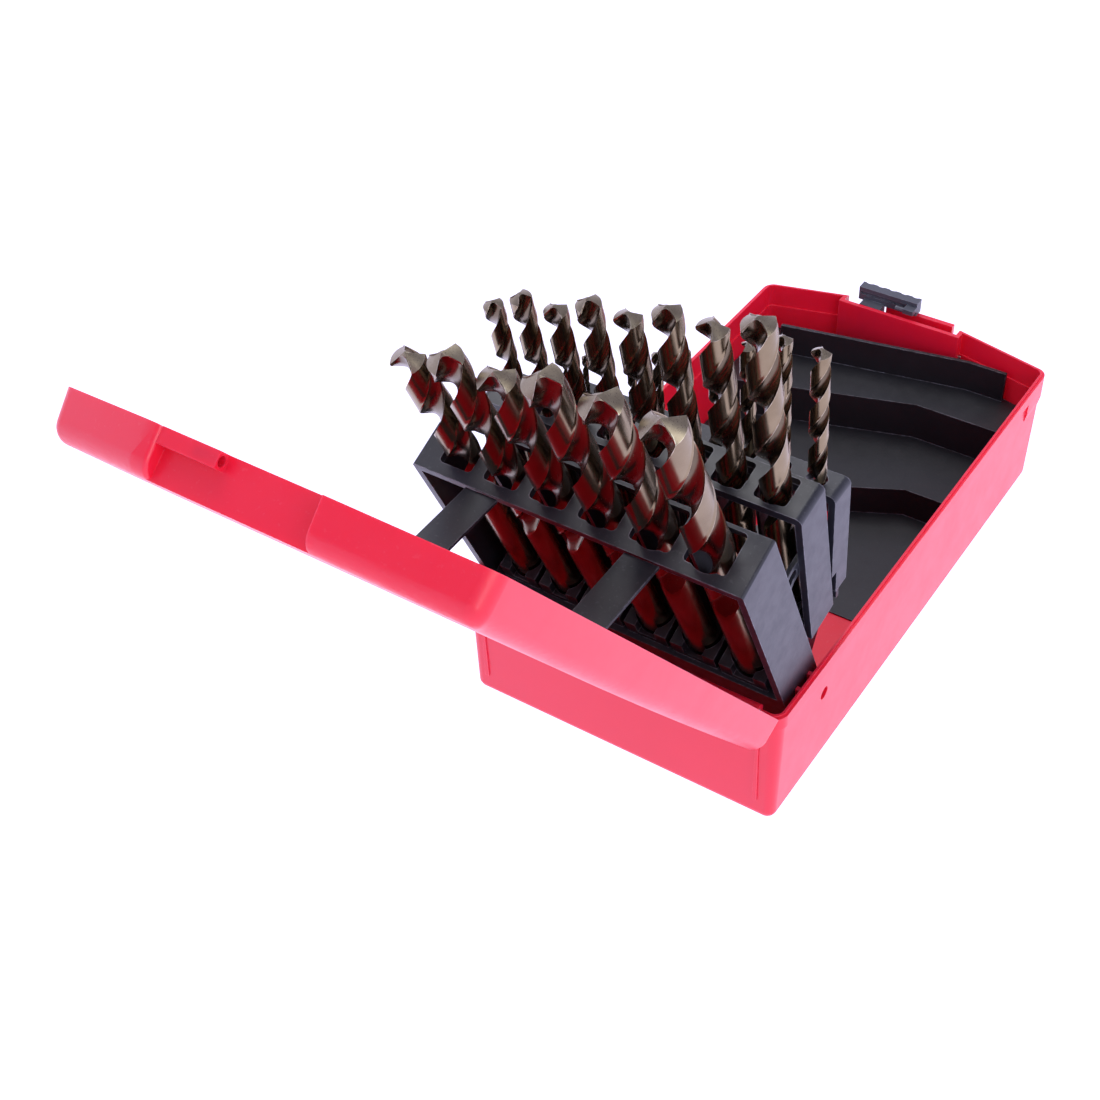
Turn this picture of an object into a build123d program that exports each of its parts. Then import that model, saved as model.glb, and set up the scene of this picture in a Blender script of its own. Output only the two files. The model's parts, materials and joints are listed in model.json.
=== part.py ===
import os
from math import atan2, cos, degrees, hypot, radians, sin, tan
from build123d import *

# Hinged drill bit case, shown open, in millimetres.
# The origin is the middle of the tub's flat bottom. X runs along the lid hinge,
# Y from the hinge side to the latch side, and Z is up.

# Tub and lid outline
case_width = 122.0
case_length = 217.0
tub_height = 51.0
front_bow = 9.1
pocket_left = -28.0
pocket_right = 21.0
corner_radius = 4.8

# Tub shell
tub_wall = 1.7
tub_floor = 2.5
tub_draft = 1.0
band_step = 0.6
band_depth = 5.5
bottom_round = 3.8
rim_lip_height = 0.7
rim_shelf = 1.0
corner_band_depth = 10.0
corner_band_fade = 3.5
corner_band_length = 17.0
cavity_step = 0.5
cavity_step_depth = 9.5
back_rib_places = (-54.0, 53.0)
back_rib_low = 9.0
back_rib_high = 45.8
back_rib_foot = 1.8
back_rib_head = 0.7
back_rib_rise = 0.5
wall_rib_places = (16.0, 24.0)
wall_rib_thickness = 1.6
wall_rib_reach = 3.6
wall_rib_root = 1.6
wall_rib_low = 8.0
wall_rib_high = 1.2
pocket_depth = 4.5
pocket_drop = 15.0

# Lid shell
lid_gap = 0.3
lid_height = 13.0
lid_front_height = 12.0
lid_wall = 2.0
lid_draft = 5.0
lid_open_angle = 129.2
lid_corner_round = 5.2
lid_edge_round = 4.8
lid_crown_fall = 1.2
lid_crown_share = 0.42
lid_recess_left = -23.5
lid_recess_round = 1.2

# Hinge
hinge_radius = 2.4
hinge_rod_radius = 0.9
hinge_bore_clearance = 0.06
hinge_inset = 0.4
hinge_rise = 0.15
hinge_web_depth = 4.0
hinge_end_margin = 8.0
knuckle_count = 7
knuckle_gap = 0.3

# Latch
rod_radius = 1.0
rod_height = 39.8
rod_clearance = 0.06
slider_left = -24.0
slider_length = 25.5
slider_head_depth = 4.3
slider_head_gap = 1.1
slider_groove = 0.7
slider_groove_end = 5.0
slider_neck_left = 2.5
slider_neck_width = 9.0
scallop_radius = 2.6
scallop_offset = 6.4
rod_set_in = 1.7
rod_end_reach = 2.6
slider_top = 56.0
slider_gap = 0.3
scallop_count = 5
tab_plate_left = -12.0
tab_plate_right = 17.0
tab_plate_low = 44.5
pocket_foot = 2.0
tab_plate_thickness = 2.2
tab_plate_offset = 8.0
tab_plate_drop = 1.2
catch_left = -23.6
catch_right = -7.0
catch_thickness = 3.6
catch_height = 4.0
lock_pin_radius = 1.0
lock_hole_radius = 1.3
lock_hole_depth = 6.8
lock_out = 1.9
lock_rise = 2.0

# Trays: pivot, lean from upright, how far the middle lies in front of the pivot
large = dict(pivot=(-75.4, 34.5), lean=24.6, offset=6.1, half_width=57.2, depth=19.6,
             top=101.7, seat=23.8, plate=3.0, margin=7.6, slot_play=1.1, front_rib=4.0,
             back_rib=1.3, wall_bottom=5.0, level=0, relief=0.0, bend=0.0)
medium = dict(pivot=(-78.8, 34.0), lean=14.4, offset=-11.2, half_width=57.0, depth=14.6,
              top=91.0, seat=31.3, plate=3.0, margin=6.6, slot_play=0.9, front_rib=2.4,
              back_rib=1.2, wall_bottom=20.0, level=1, relief=0.0, bend=15.0)
small = dict(pivot=(-81.7, 29.8), lean=5.4, offset=-20.9, half_width=56.7, depth=10.4,
             top=83.6, seat=41.7, plate=3.0, margin=5.6, slot_play=0.7, front_rib=2.0,
             back_rib=1.4, wall_bottom=30.0, level=2, relief=3.2, bend=8.0)
arm_shoulder = 24.0
small_relief_top = 49.0
large_relief = 2.0
large_relief_top = 31.0
panel = 2.4
panel_gap = 0.3
tray_web = 2.0
tray_skin = 1.6
pocket_wall_height = 7.0
panel_round = 2.4
large_panel_round = 1.0
divider_thickness = 1.2
pin_radius = 1.5
pin_clearance = 0.05
eye_wall = 1.7
large_pin_radius = 3.6
large_pin_bore = 2.4
large_eye_wall = 2.2
large_panel_taper = 14.0
bracket_thickness = 2.0
bracket_reach = 5.0
bracket_head = 4.0
bracket_round = 3.0

# Drill bits: diameter, overall length, flute length
bit_sizes = [
    (1.0, 34, 12), (1.5, 40, 18), (2.0, 49, 24), (2.5, 57, 30), (3.0, 61, 33), (3.5, 70, 39),
    (4.0, 75, 43), (4.5, 80, 47), (5.0, 86, 52), (5.5, 93, 57), (6.0, 93, 57),
    (6.5, 101, 63), (7.0, 109, 69), (7.5, 109, 69), (8.0, 117, 75), (8.5, 117, 75),
    (9.0, 125, 81), (9.5, 125, 81), (10.0, 133, 87),
    (10.5, 133, 87), (11.0, 142, 94), (11.5, 142, 94), (12.0, 151, 101), (12.5, 151, 101),
    (13.0, 151, 101),
]
small_bits = bit_sizes[:11]
medium_bits = bit_sizes[11:19]
large_bits = bit_sizes[19:]
point_angle = 118.0
flute_pitch_ratio = 4.6
flute_pitch_base = 3.0
flute_offset = 0.95
flute_size = 0.62
land_ratio = 0.985
web_ratio = 0.5
pocket_play = 0.6
least_stand_out = 0.33

# Straps and links
strap_width = 11.7
strap_thickness = 1.2
strap_tip_gap = 0.4
strap_tip_drop = 1.7
strap_along = 91.5
strap_depth = 7.2
strap_places = (-31.5, 24.4)
strap_pin_radius = 1.2
strap_end_play = 0.05
strap_eye_radius = 2.6
strap_side_gap = 0.3
boss_ear = 2.0
boss_half_length = 3.0
boss_drop = 2.6
link_thickness = 1.6
link_height = 0.62
link_stud_radius = 1.3
link_slot_play = 0.5
link_rim = 1.6

# Bit rest: ledge heights and the edge line of each ledge, from the left to the right wall
rest_skin = 1.8
rest_gap = 0.4
ledge_heights = (31.5, 15.5)
rest_top = 44.5
rest_front = 106.8
rest_lip = 1.5
rest_lip_end = 45.6
rest_top_kink = 30.0
rest_top_slant = 0.2
ledge_edges = (87.4, 55.4)
ledge_kinks = (18.0, 30.0)
ledge_slants = (0.32, 0.5)
rest_floor = 0.6
rest_floor_reach = -9.1

half_width = case_width / 2
back_y = -case_length / 2
corner_y = case_length / 2
front_y = corner_y + front_bow
hinge_y = back_y + hinge_inset
hinge_z = tub_height + hinge_rise
lid_rim_z = tub_height + lid_gap
lock_z = lid_rim_z + lock_rise
recess_y = front_y - pocket_depth
head_y = recess_y + catch_thickness + slider_head_gap
lock_y = recess_y + lock_out
rod_y = recess_y + slider_gap + rod_set_in
bore_radius = hinge_rod_radius + hinge_bore_clearance
hinge_half = half_width - hinge_end_margin
knuckle_length = (2 * hinge_half - (knuckle_count - 1) * knuckle_gap) / knuckle_count
low = (Align.CENTER, Align.CENTER, Align.MIN)


def block(x0, x1, y0, y1, z0, z1):
    return Pos(x0, y0, z0) * Box(x1 - x0, y1 - y0, z1 - z0, align=(Align.MIN, Align.MIN, Align.MIN))


def rod_x(radius, x0, x1, y, z):
    return Pos(x0, y, z) * Rot(0, 90, 0) * Cylinder(radius, x1 - x0, align=low)


def case_outline(rounded=True):
    # The latch side bows out in plan, in two slanted flats and a middle flat.
    points = [(-half_width, back_y), (half_width, back_y), (half_width, corner_y), (pocket_right, front_y),
              (pocket_left, front_y), (-half_width, corner_y)]
    face = make_face(Polyline(*points, close=True))
    if not rounded:
        return face
    outer = [v for v in face.vertices() if abs(abs(v.X) - half_width) < 0.01]
    return fillet(outer, corner_radius)


def knuckles(tub_side):
    first = 0 if tub_side else 1
    group = []
    for i in range(first, knuckle_count, 2):
        x0 = -hinge_half + i * (knuckle_length + knuckle_gap)
        group.append((x0, x0 + knuckle_length))
    return group


def knuckle_clearance(tub_side):
    cuts = []
    for x0, x1 in knuckles(not tub_side):
        cuts.append(rod_x(hinge_radius + knuckle_gap, x0 - knuckle_gap, x1 + knuckle_gap, hinge_y, hinge_z))
    return cuts


def shrunk(face, inset):
    return offset(face, -inset, kind=Kind.INTERSECTION)


def tub():
    outline = case_outline()
    at_rim = Pos(0, 0, tub_height)
    band = at_rim * extrude(outline, band_depth, dir=(0, 0, -1))
    shelf = Pos(0, 0, tub_height - rim_lip_height) * extrude(outline, rim_lip_height)
    shelf -= Pos(0, 0, tub_height - rim_lip_height) * extrude(shrunk(outline, rim_shelf), rim_lip_height)
    shell = at_rim * extrude(shrunk(outline, band_step), tub_height, dir=(0, 0, -1), taper=tub_draft)
    shell = fillet(shell.edges().group_by(Axis.Z)[0], bottom_round)
    cavity = at_rim * extrude(shrunk(outline, band_step + tub_wall), tub_height - tub_floor,
                              dir=(0, 0, -1), taper=tub_draft)
    cavity += at_rim * extrude(shrunk(outline, band_step + tub_wall - cavity_step), cavity_step_depth,
                               dir=(0, 0, -1), taper=tub_draft)
    pocket_floor = tub_height - pocket_drop
    outer_cut = block(pocket_left, pocket_right, recess_y, front_y + 5, pocket_floor, tub_height + 5)
    inner_keep = block(pocket_left - tub_wall, pocket_right + tub_wall, recess_y - tub_wall, front_y + 5,
                       pocket_floor - tub_wall, tub_height + 5)
    body = band + shell + corner_bands(outline) - shelf - (cavity - inner_keep) - outer_cut
    plate_y = recess_y + tab_plate_offset - tab_plate_thickness
    plate_front = plate_y + tab_plate_thickness
    tab = block(tab_plate_left, tab_plate_right, plate_y, plate_front,
                pocket_floor - 0.5, tub_height - tab_plate_drop)
    low_tab = block(pocket_left - 0.5, tab_plate_left, plate_y, plate_front, pocket_floor - 0.5, tab_plate_low)
    foot = block(pocket_left - 0.5, tab_plate_right, recess_y - 0.5, plate_front,
                 pocket_floor - pocket_foot, pocket_floor)
    body += tab + low_tab + foot
    body -= rod_x(rod_radius + 0.02, pocket_left - rod_end_reach, pocket_right + rod_end_reach, rod_y, rod_height)
    for x0, x1 in knuckles(True):
        hub = rod_x(hinge_radius, x0, x1, hinge_y, hinge_z)
        web = block(x0, x1, back_y + 0.2, hinge_y + hinge_radius - 0.4, tub_height - 1.0, hinge_z)
        body += hub + web
    body -= rod_x(bore_radius, -half_width, half_width, hinge_y, hinge_z)
    for cut in knuckle_clearance(True):
        body -= cut
    for side in (-1, 1):
        body += pivot_bracket(side)
        body += pivot_pins(side)
        body -= large_pin_hole(side)
    body += wall_ribs()
    body += back_ribs()
    return body


def back_ribs():
    # Two low ribs on the hinge wall, each wider at its foot. They follow the draft of the wall.
    def wall_face(z):
        return back_y + band_step + (tub_height - z) * tan(radians(tub_draft)) - back_rib_rise

    inside = back_y + band_step + tub_wall
    side_view = Polyline((inside, back_rib_low), (wall_face(back_rib_low), back_rib_low),
                         (wall_face(back_rib_high), back_rib_high), (inside, back_rib_high), close=True)
    slab = extrude(Plane.YZ * make_face(side_view), half_width, both=True)
    foot, head = back_rib_foot / 2, back_rib_head / 2
    ribs = []
    for place in back_rib_places:
        front_view = Polyline((place - foot, back_rib_low), (place + foot, back_rib_low),
                              (place + head, back_rib_high), (place - head, back_rib_high), close=True)
        ribs.append(slab & extrude(Plane.XZ * make_face(front_view), case_length, both=True))
    return ribs


def corner_bands(outline):
    # The rim band is deeper round the two corners beside the latch, and fades into the wall below.
    top = tub_height - corner_band_depth
    deep = Pos(0, 0, top) * extrude(outline, corner_band_depth)
    fade = Pos(0, 0, top) * extrude(outline, corner_band_fade, dir=(0, 0, -1), taper=10)
    near = corner_y - corner_band_length
    bands = deep + fade
    return [bands & block(*side_span(side, half_width - 12, half_width + 1), near, front_y,
                          top - corner_band_fade, tub_height) for side in (-1, 1)]


def side_span(side, near, far):
    return sorted((side * near, side * far))


def level_span(tray):
    # Side arms of the three trays lie one inside the other, with the bracket after the first.
    outer = large["half_width"]
    if tray["level"] > 0:
        outer -= panel + 2 * panel_gap + bracket_thickness + (tray["level"] - 1) * (panel + panel_gap)
    return outer - panel, outer


def bracket_span():
    inner = large["half_width"] - panel - panel_gap
    return inner - bracket_thickness, inner


def pivot_bracket(side):
    x0, x1 = side_span(side, *bracket_span())
    ys = [t["pivot"][0] for t in (large, medium, small)]
    zs = [t["pivot"][1] for t in (large, medium, small)]
    plate = block(x0, x1, min(ys) - bracket_reach, max(ys) + bracket_reach, tub_floor - 0.2, max(zs) + bracket_head)
    edges = plate.edges().filter_by(Axis.X).group_by(Axis.Z)[-1]
    return fillet(edges, bracket_round)


def pivot_pins(side):
    inner, outer = bracket_span()
    wall_x = half_width - band_step - 0.8
    x0, x1 = side_span(side, outer - 0.3, wall_x)
    pins = rod_x(large_pin_radius, x0, x1, *large["pivot"])
    for tray in (medium, small):
        reach, _ = level_span(tray)
        x0, x1 = side_span(side, reach, outer - 0.3)
        pins += rod_x(pin_radius, x0, x1, *tray["pivot"])
    return pins


def large_pin_hole(side):
    x0, x1 = side_span(side, bracket_span()[1] + 0.8, half_width + 1)
    return rod_x(large_pin_bore, x0, x1, *large["pivot"])


def wall_ribs():
    ribs = []
    for side in (-1, 1):
        for place in wall_rib_places:
            x0, x1 = side_span(side, half_width - wall_rib_reach, half_width - wall_rib_root)
            y = back_y + place
            ribs.append(block(x0, x1, y, y + wall_rib_thickness, tub_height - wall_rib_low, tub_height - wall_rib_high))
    return ribs


def hinge_rod():
    return rod_x(hinge_rod_radius, -hinge_half, hinge_half, hinge_y, hinge_z)


def lid_place():
    # The lid is drawn shut, then turned about the hinge to where it stands open.
    hinge = Pos(0, hinge_y, hinge_z)
    return hinge * Rot(lid_open_angle, 0, 0) * Pos(0, -hinge_y, -hinge_z)


def lid_crown(drop):
    # Side view of the lid's top, falling a little towards the latch side.
    top = lid_rim_z + lid_height - drop
    nose = lid_rim_z + lid_front_height - drop
    line = Polyline((front_y + 2, nose), (front_y + 2, lid_rim_z - 1), (back_y - 2, lid_rim_z - 1),
                    (back_y - 2, top - lid_crown_fall))
    arc = ThreePointArc((back_y - 2, top - lid_crown_fall), (back_y + case_length * lid_crown_share, top),
                        (front_y + 2, nose))
    face = make_face(line + arc)
    return Plane.YZ * face


def lid_solid(inset):
    outline = case_outline(rounded=False)
    if inset > 0:
        outline = shrunk(outline, inset)
    prism = Pos(0, 0, lid_rim_z) * extrude(outline, lid_height + 2, taper=lid_draft)
    crown = extrude(lid_crown(inset), half_width + 5, both=True)
    body = prism & crown
    corners = [e for e in body.edges() if abs(e.center().X) > half_width - 4 and e.bounding_box().size.Z > lid_height / 2]
    body = fillet(corners, lid_corner_round - inset)
    top_edges = [e for e in body.edges() if e.bounding_box().min.Z > lid_rim_z + 5]
    return fillet(top_edges, lid_edge_round - inset)


def lid():
    top = lid_rim_z + lid_height + 5
    recess = block(lid_recess_left, pocket_right, recess_y, front_y + 5, lid_rim_z - 1, top)
    recess_wall = block(lid_recess_left - lid_wall, pocket_right + lid_wall, recess_y - lid_wall, front_y + 5,
                        lid_rim_z - 1, top)
    outer = lid_solid(0) - recess
    mouth = [e for e in outer.edges() if e.bounding_box().size.X < 0.01 and abs(e.center().X - lid_recess_left) < 0.1
             and e.center().Y > recess_y + 1 and e.length > 3]
    outer = fillet(mouth, lid_recess_round)
    body = outer - (lid_solid(lid_wall) - recess_wall)
    body += block(catch_left, catch_right, recess_y - 0.8, recess_y + catch_thickness,
                  lid_rim_z, lid_rim_z + catch_height)
    body -= rod_x(lock_hole_radius, catch_right - lock_hole_depth, catch_right + 1, lock_y, lock_z)
    for cut in knuckle_clearance(False):
        body -= cut
    for x0, x1 in knuckles(False):
        hub = rod_x(hinge_radius, x0, x1, hinge_y, hinge_z)
        web = block(x0, x1, back_y + 0.1, hinge_y + hinge_radius - 0.4, hinge_z, hinge_z + hinge_web_depth)
        body += hub + web
    body -= rod_x(bore_radius, -half_width, half_width, hinge_y, hinge_z)
    for place in strap_places:
        body += strap_boss(place)
        body -= rod_x(strap_pin_radius + 0.02, place - strap_width, place + strap_width, *strap_anchor())
    return lid_place() * body


def strap_anchor():
    # Where the strap pin lies in the shut lid.
    return hinge_y + strap_along, hinge_z + strap_depth


def strap_boss(place):
    y, z = strap_anchor()
    ears = []
    for side in (-1, 1):
        inner = place + side * (strap_width / 2 + strap_side_gap)
        x0, x1 = sorted((inner, inner + side * boss_ear))
        ears.append(block(x0, x1, y - boss_half_length, y + boss_half_length, z - boss_drop,
                          lid_rim_z + lid_height - 1.0))
    return ears


def strap_pin(place):
    reach = strap_width / 2 + strap_side_gap + boss_ear
    return lid_place() * rod_x(strap_pin_radius, place - reach, place + reach, *strap_anchor())


def turned(point, centre, angle):
    # A side-view point turned about a centre, by an angle in degrees.
    a = radians(angle)
    dy, dz = point[0] - centre[0], point[1] - centre[1]
    return centre[0] + dy * cos(a) - dz * sin(a), centre[1] + dy * sin(a) + dz * cos(a)


def strap_reach():
    # Distance and slope from the strap pin in the open lid to the large tray's front top edge.
    pin_y, pin_z = turned(strap_anchor(), (hinge_y, hinge_z), lid_open_angle)
    y, z = large["pivot"]
    edge = turned((y + tray_front(large), z + large["top"] - strap_tip_drop), (y, z), large["lean"])
    dy, dz = edge[0] - pin_y, edge[1] - pin_z
    return hypot(dy, dz), degrees(atan2(dz, dy))


def strap(place):
    # Drawn along +Y from its pin, then turned to point at the tray's edge.
    half = strap_width / 2
    distance, slope = strap_reach()
    strap_length = distance - strap_tip_gap
    eye = rod_x(strap_eye_radius, place - half, place + half, 0, 0)
    blade = block(place - half, place + half, 0, strap_length, -strap_thickness / 2, strap_thickness / 2)
    body = eye + blade - rod_x(strap_pin_radius + strap_end_play, place - half - 1, place + half + 1, 0, 0)
    pin_place = turned(strap_anchor(), (hinge_y, hinge_z), lid_open_angle)
    return Pos(0, *pin_place) * Rot(slope, 0, 0) * body


def tray_place(tray):
    return Pos(0, *tray["pivot"]) * Rot(tray["lean"], 0, 0)


def tray_front(tray):
    return -tray["offset"] - tray["depth"] / 2


def tray_back(tray):
    return -tray["offset"] + tray["depth"] / 2


def slot_centres(tray, bits):
    # Slots fill the plate from the left margin to the right one, with even ribs between them.
    widths = [d + tray["slot_play"] for d, _, _ in bits]
    room = 2 * (tray["half_width"] - tray["margin"]) - sum(widths)
    rib = room / (len(bits) - 1)
    x = -tray["half_width"] + tray["margin"]
    centres = []
    for width in widths:
        centres.append(x + width / 2)
        x += width + rib
    return centres


def seat_height(tray, size):
    # Short bits stand on raised seats, so that enough of each shows above the plate.
    return max(tray["seat"], tray["top"] - size[1] * (1 - least_stand_out))


def rounded_slot(width, y0, y1, z0, z1):
    face = Rectangle(width, y1 - y0)
    face = fillet(face.vertices(), min(1.5, width * 0.3))
    return Pos(0, (y0 + y1) / 2, z0) * extrude(face, z1 - z0)


def tray_arm(tray, side):
    # From the pivot eye up to the tray's side panel.
    radius, bore, wall = pin_radius, pin_clearance, eye_wall
    if tray is large:
        radius, wall = large_pin_radius, large_eye_wall
    x0, x1 = side_span(side, *level_span(tray))
    eye = rod_x(radius + wall, x0, x1, 0, 0)
    foot = tray["seat"] - tray_web
    root = foot - large_panel_taper
    front, back = tray_front(tray), tray_back(tray)
    reach = radius + wall
    if tray is large:
        side_view = Polyline((front, root), (front, foot), (back, foot), (back, 0), (-reach, 0), (front, root))
    else:
        near = min(max(front, -reach), reach)
        face_y = front + tray["relief"]
        side_view = Polyline((-reach * 0.9, 0.5), (near, tray["bend"]), (face_y, arm_shoulder), (face_y, foot + 4),
                             (back, foot + 4), (back, arm_shoulder - 6), (reach * 0.9, -0.5), (-reach * 0.9, 0.5))
    face = make_face(side_view)
    plate = Pos(x0, 0, 0) * extrude(Plane.YZ * face, x1 - x0)
    return eye + plate - rod_x(radius + bore, x0 - 1, x1 + 1, 0, 0)


def relief_space(bottom):
    # The small tray is set back low down, where the medium tray's foot leans over it.
    front = tray_front(small)
    return block(-half_width, half_width, front - 1, front + small["relief"], bottom, small_relief_top)


def tray_body(tray, bits):
    front, back = tray_front(tray), tray_back(tray)
    half = tray["half_width"]
    top, seat = tray["top"], tray["seat"]
    inner = half - panel
    body = block(-half, half, front, back, top - tray["plate"], top)
    foot = seat - tray_web
    body += block(-half, half, front, back, foot, seat)
    wall_y = (back - tray_skin, back) if tray is small else (front, front + tray_skin)
    body += block(-inner, inner, *wall_y, tray["wall_bottom"], foot + 0.2)
    for side in (-1, 1):
        x0, x1 = side_span(side, inner, half)
        body += block(x0, x1, front, back, foot, top)
        body += tray_arm(tray, side)
    ends = [e for e in body.edges().filter_by(Axis.Y)
            if abs(abs(e.center().X) - half) < 0.01 and abs(e.center().Z - top) < 0.01]
    body = fillet(ends, large_panel_round if tray is large else panel_round)
    centres = slot_centres(tray, bits)
    for x, size in zip(centres, bits):
        d = size[0]
        wide = d / 2 + pocket_play + 1.2
        bit_y = -tray["offset"]
        base = seat_height(tray, size)
        cup_y = (max(front, bit_y - wide), min(back, bit_y + wide))
        body += block(x - wide, x + wide, *cup_y, foot, base + pocket_wall_height)
    for left, right in zip(zip(centres, bits), zip(centres[1:], bits[1:])):
        gap = (left[0] + left[1][0] / 2 + right[0] - right[1][0] / 2) / 2
        half_rib = divider_thickness / 2
        body += block(gap - half_rib, gap + half_rib, -tray["offset"], back, seat - 0.2, top - 1.0)
    if tray is small:
        body -= relief_space(tray["wall_bottom"])
    if tray is large:
        body -= block(-inner, inner, back - large_relief, back + 1, foot - 1, large_relief_top)
    for x, size in zip(centres, bits):
        d = size[0]
        base = seat_height(tray, size)
        width = d + tray["slot_play"]
        through = front + tray["front_rib"], back - tray["back_rib"]
        if tray is small:
            body -= Pos(x, -tray["offset"], base) * Cylinder(width / 2, top - base + 1, align=low)
        else:
            body -= Pos(x, 0, 0) * rounded_slot(width, *through, top - tray["plate"] - 1, top + 1)
            body -= Pos(x, -tray["offset"], base) * Cylinder(d / 2 + pocket_play, top - base, align=low)
        mouth_low = base + 2.0
        body -= block(x - d * 0.3, x + d * 0.3, front - 1, -tray["offset"], mouth_low, top - tray["plate"])
    return body


def link_stud_place(front_tray):
    # On the inner face of the front tray's panel, near its back edge.
    return tray_back(front_tray) - 2.2, front_tray["top"] * link_height


def to_tray(point, source, target, share):
    # A point of one tray seen from the other, with the lid opened by this share of its travel.
    def world(tray):
        return (tray["lean"] + 90) * share - 90
    a = radians(world(source))
    y = source["pivot"][0] + point[0] * cos(a) - point[1] * sin(a)
    z = source["pivot"][1] + point[0] * sin(a) + point[1] * cos(a)
    b = radians(world(target))
    dy, dz = y - target["pivot"][0], z - target["pivot"][1]
    return dy * cos(b) + dz * sin(b), -dy * sin(b) + dz * cos(b)


def link_path(front_tray, rear_tray):
    place = link_stud_place(front_tray)
    return [to_tray(place, front_tray, rear_tray, k / 8) for k in range(9)]


def link_level(front_tray):
    outer = front_tray["half_width"] - panel - panel_gap
    return outer - link_thickness, outer


def slotted(path, radius, x0, x1):
    shape = rod_x(radius, x0, x1, *path[0])
    for (y0, z0), (y1, z1) in zip(path, path[1:]):
        length = hypot(y1 - y0, z1 - z0)
        angle = degrees(atan2(z1 - z0, y1 - y0))
        bar = Pos(0, y0, z0) * Rot(angle, 0, 0) * block(x0, x1, 0, length, -radius, radius)
        shape += bar
        shape += rod_x(radius, x0, x1, y1, z1)
    return shape


def tray_link(front_tray, rear_tray, side):
    near, far = link_level(front_tray)
    x0, x1 = side_span(side, near, far)
    path = link_path(front_tray, rear_tray)
    rim = link_stud_radius + link_slot_play + link_rim
    plate = slotted(path, rim, x0, x1)
    front, z = tray_front(rear_tray), path[0][1]
    root = max(p[0] for p in path)
    pad_y = (root, front + 5.0)
    inner = rear_tray["half_width"] - panel
    plate += block(x0, x1, *pad_y, z - rim, z + rim)
    p0, p1 = side_span(side, near, inner)
    plate += block(p0, p1, front + 0.6, front + 5.0, z - rim, z + rim)
    plate -= slotted(path, link_stud_radius + link_slot_play, x0 - 1, x1 + 1)
    return tray_place(rear_tray) * plate


def link_stud(front_tray, side):
    near, far = link_level(front_tray)
    x0, x1 = side_span(side, near - 0.4, front_tray["half_width"] - panel + 0.3)
    return rod_x(link_stud_radius, x0, x1, *link_stud_place(front_tray))


def tray(spec, bits):
    body = tray_body(spec, bits)
    if spec is not small:
        for side in (-1, 1):
            body += link_stud(spec, side)
    return tray_place(spec) * body


def drill_bit(size):
    # Plain shank, twisted fluted part and a ground point on its web.
    diameter, length, flute_length = size
    radius = diameter / 2
    web = radius * web_ratio
    point = web / tan(radians(point_angle / 2))
    start = length - flute_length
    flute = Circle(radius * flute_size)
    section = Circle(radius * land_ratio)
    section -= Pos(radius * flute_offset, 0) * flute
    section -= Pos(-radius * flute_offset, 0) * flute
    profile = (Pos(0, 0, start) * section).faces()[0]
    rise = flute_length - point
    turn = 360 * rise / (flute_pitch_ratio * diameter + flute_pitch_base)
    fluted = Solid.extrude_linear_with_rotation(profile, Vector(0, 0, start), Vector(0, 0, rise), turn)
    tip = Pos(0, 0, length - point) * Cone(web, 0, point, align=low)
    return Cylinder(radius, start, align=low) + fluted + tip


def placed_bits(spec, bits):
    for x, size in zip(slot_centres(spec, bits), bits):
        seat = Pos(x, -spec["offset"], seat_height(spec, size))
        name = "bit_" + f"{size[0]:04.1f}".replace(".", "_")
        yield name, tray_place(spec) * seat * drill_bit(size)


def ledge_line(edge, kink, slant, x):
    return edge - max(0, kink - x) * slant


def rest_space(inset):
    # The room inside the tub's far end, short of its walls and of the latch pocket by the inset.
    at_rim = Pos(0, 0, tub_height)
    face = shrunk(case_outline(), band_step + tub_wall + inset)
    room = at_rim * extrude(face, tub_height - tub_floor, dir=(0, 0, -1), taper=tub_draft)
    low_z = tub_height - pocket_drop - tub_wall - inset
    return room - block(pocket_left - tub_wall - inset, pocket_right + tub_wall + inset,
                        recess_y - tub_wall - inset, front_y + 5, low_z, tub_height + 5)


def rest_layer(edge, kink, slant, z0, z1):
    # One step: its riser runs level, then slants back towards the hinge on the left.
    y_left = ledge_line(edge, kink, slant, -half_width)
    points = [(kink, edge), (half_width, edge), (half_width, front_y), (-half_width, front_y),
              (-half_width, y_left)]
    return Pos(0, 0, z0) * extrude(make_face(Polyline(*points, close=True)), z1 - z0)


def rest_steps():
    # Lowest step first: top, riser, kink and slant of each.
    tops = ledge_heights[::-1] + (rest_top,)
    edges = ledge_edges[::-1] + (rest_front,)
    kinks = ledge_kinks[::-1] + (rest_top_kink,)
    slants = ledge_slants[::-1] + (rest_top_slant,)
    return list(zip(tops, edges, kinks, slants))


def bit_rest():
    # Hollow underneath, like a thin moulding: every ledge and riser keeps the same skin.
    body = None
    hollow = None
    bottom = tub_floor
    for top, edge, kink, slant in rest_steps():
        layer = rest_layer(edge, kink, slant, bottom, top)
        body = layer if body is None else body + layer
        room = rest_layer(edge + rest_skin, kink, slant, bottom - rest_skin, top - rest_skin)
        hollow = room if hollow is None else hollow + room
        bottom = top
    body = body & rest_space(rest_gap)
    hollow = hollow & rest_space(rest_gap + rest_skin) & block(-half_width, half_width, 0, front_y,
                                                               tub_floor - 1, ledge_heights[0] - rest_skin)
    body = body - hollow
    # Above the upper ledge only a thin lip stands, with a free end on each side.
    lip_back = rest_layer(rest_front + rest_lip, rest_top_kink, rest_top_slant, ledge_heights[0], tub_height)
    body = body - lip_back
    for side in (-1, 1):
        x0, x1 = side_span(side, rest_lip_end, half_width)
        body -= block(x0, x1, corner_y - 40, front_y, ledge_heights[0], tub_height)
    plate_wall = half_width - band_step - tub_wall - 2.6
    floor_plate = block(8.0, plate_wall, rest_floor_reach, ledge_edges[1] + rest_skin,
                        tub_floor, tub_floor + rest_floor)
    return body + floor_plate


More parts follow.
